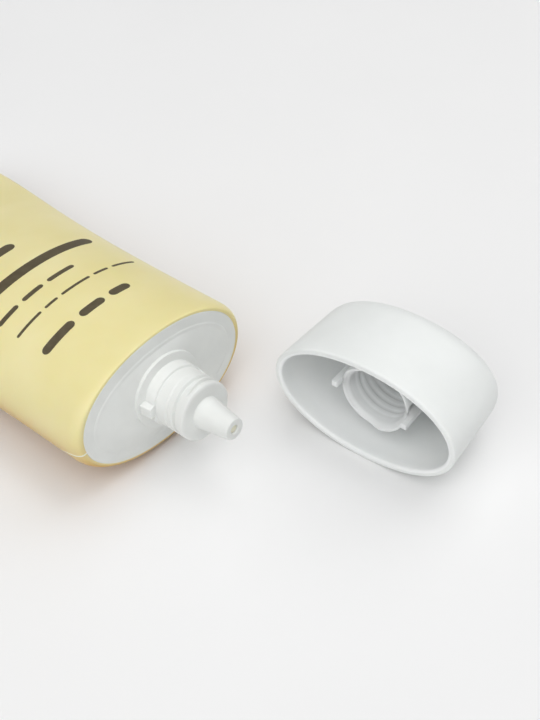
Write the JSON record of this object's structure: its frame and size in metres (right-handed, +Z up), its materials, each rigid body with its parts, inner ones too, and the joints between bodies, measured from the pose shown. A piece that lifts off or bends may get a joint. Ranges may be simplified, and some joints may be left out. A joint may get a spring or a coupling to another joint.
{
  "type": "squeeze tube",
  "caption": "Oval squeeze tube of sun cream lying on its broad side, with a stepped screw neck and small nozzle, and its oval screw cap off beside it.",
  "frame": {"origin": "on the surface that tube and cap lie on, under the middle of the box round both", "axes": "+X from the tube's crimp towards its nozzle, +Y to the left of that way, on the cap's side, +Z up"},
  "size_m": [0.1712, 0.0792, 0.0312],
  "materials": {
    "sleeve_yellow": "satin pale yellow laminate",
    "head_white": "satin moulded white",
    "cream_white": "smooth cream",
    "cap_white": "matte moulded white",
    "insert_natural": "satin translucent natural plastic",
    "seal_soft": "soft seal"
  },
  "bodies": {
    "tube": {"tube_sleeve": "sleeve_yellow", "head": "head_white", "cream": "cream_white"},
    "seal": {"seal_plug": "seal_soft"},
    "cap": {"cap_shell": "cap_white", "cap_insert": "insert_natural"}
  },
  "joints": [
    {"name": "cap_travel", "type": "slide", "parent": "tube", "child": "seal", "axis": [-0.0958, 0.9945, -0.0429], "range_m": [-0.004, 0]},
    {"name": "cap_turn", "type": "hinge", "parent": "seal", "child": "cap", "pos_m": [0.06305, 0.01475, 0.01389], "axis": [-0.0958, 0.9945, -0.0429], "range_deg": [-720, 0]}
  ],
  "couplings": [
    {"joint": "cap_travel", "follows": "cap_turn", "m_per_rad": 0.00031831}
  ]
}
